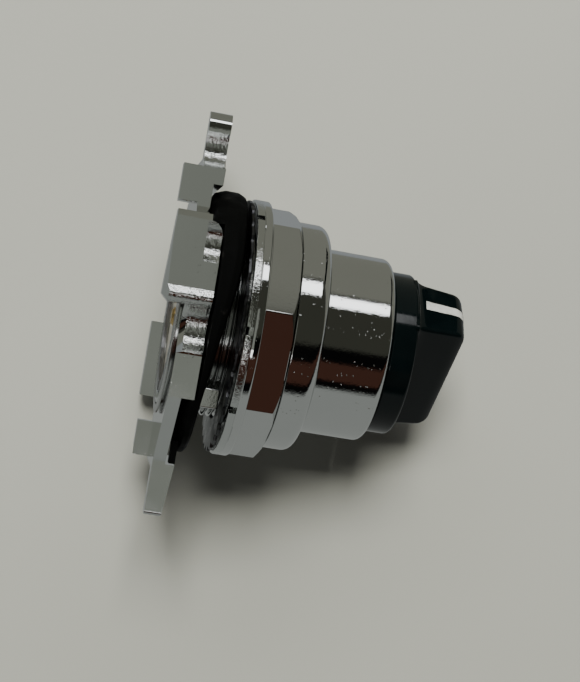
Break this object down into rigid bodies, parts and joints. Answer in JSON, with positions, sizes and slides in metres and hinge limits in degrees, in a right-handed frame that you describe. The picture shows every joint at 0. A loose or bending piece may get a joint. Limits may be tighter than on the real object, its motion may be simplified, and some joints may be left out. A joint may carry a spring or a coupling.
{
  "type": "selector switch operator",
  "caption": "Panel-mounted rotary selector switch operator: lever knob, chromed sleeve, octagonal ring nut, gasket and cast rear base plate.",
  "frame": {"origin": "on the operator's axis, in the plane where the panel's rear face seats on the gasket", "axes": "+Z along the operator's axis to the knob, +Y to the base plate's upper ear, +X to the right seen from the knob"},
  "size_m": [0.0426, 0.064, 0.0486],
  "materials": {
    "chrome": "bright nickel-chrome plate on zinc die casting, lightly pitted",
    "rubber": "matte black moulded rubber",
    "black_plastic": "glossy moulded black",
    "white_plastic": "satin off-white inlay",
    "steel": "bright zinc-plated steel",
    "spring_steel": "drawn spring wire",
    "nylon": "natural moulded nylon",
    "brass": "turned brass"
  },
  "bodies": {
    "housing": {"base_plate": "chrome", "mounting_bushing": "chrome", "bushing_lock_ring": "steel", "panel_gasket": "rubber", "toothed_washer": "steel", "mounting_nut": "chrome", "nut_bezel": "chrome", "front_sleeve": "chrome", "shaft_bearing": "nylon", "shaft_seal": "rubber", "dust_wiper": "rubber", "detent_ring": "steel", "stop_plate": "steel", "plunger_guide": "nylon", "guide_circlip": "spring_steel", "plunger_spring_left": "spring_steel", "plunger_spring_right": "spring_steel"},
    "selector": {"knob": "black_plastic", "knob_indicator": "white_plastic", "drive_shaft": "steel", "knob_screw": "steel", "thrust_washer": "brass", "stop_arm": "steel", "detent_rotor": "nylon", "detent_ball_1": "steel", "detent_ball_2": "steel", "detent_spring_1": "spring_steel", "detent_spring_2": "spring_steel", "cam_drum": "nylon", "shaft_circlip": "spring_steel"},
    "left_plunger": {"contact_plunger_left": "brass"},
    "right_plunger": {"contact_plunger_right": "brass"}
  },
  "joints": [
    {"name": "knob_turn", "type": "hinge", "parent": "housing", "child": "selector", "pos_m": [0, 0, 0.0305], "axis": [0, 0, -1], "range_deg": [0, 90]},
    {"name": "left_plunger_slide", "type": "slide", "parent": "housing", "child": "left_plunger", "axis": [0, 0, 1], "range_m": [0, 0.0015], "deforming": ["plunger_spring_left"]},
    {"name": "right_plunger_slide", "type": "slide", "parent": "housing", "child": "right_plunger", "axis": [0, 0, -1], "range_m": [0, 0.0015], "deforming": ["plunger_spring_right"]}
  ],
  "couplings": [
    {"joint": "left_plunger_slide", "follows": "knob_turn", "m_per_rad": 0.00095492},
    {"joint": "right_plunger_slide", "follows": "knob_turn", "m_per_rad": 0.00095492}
  ]
}
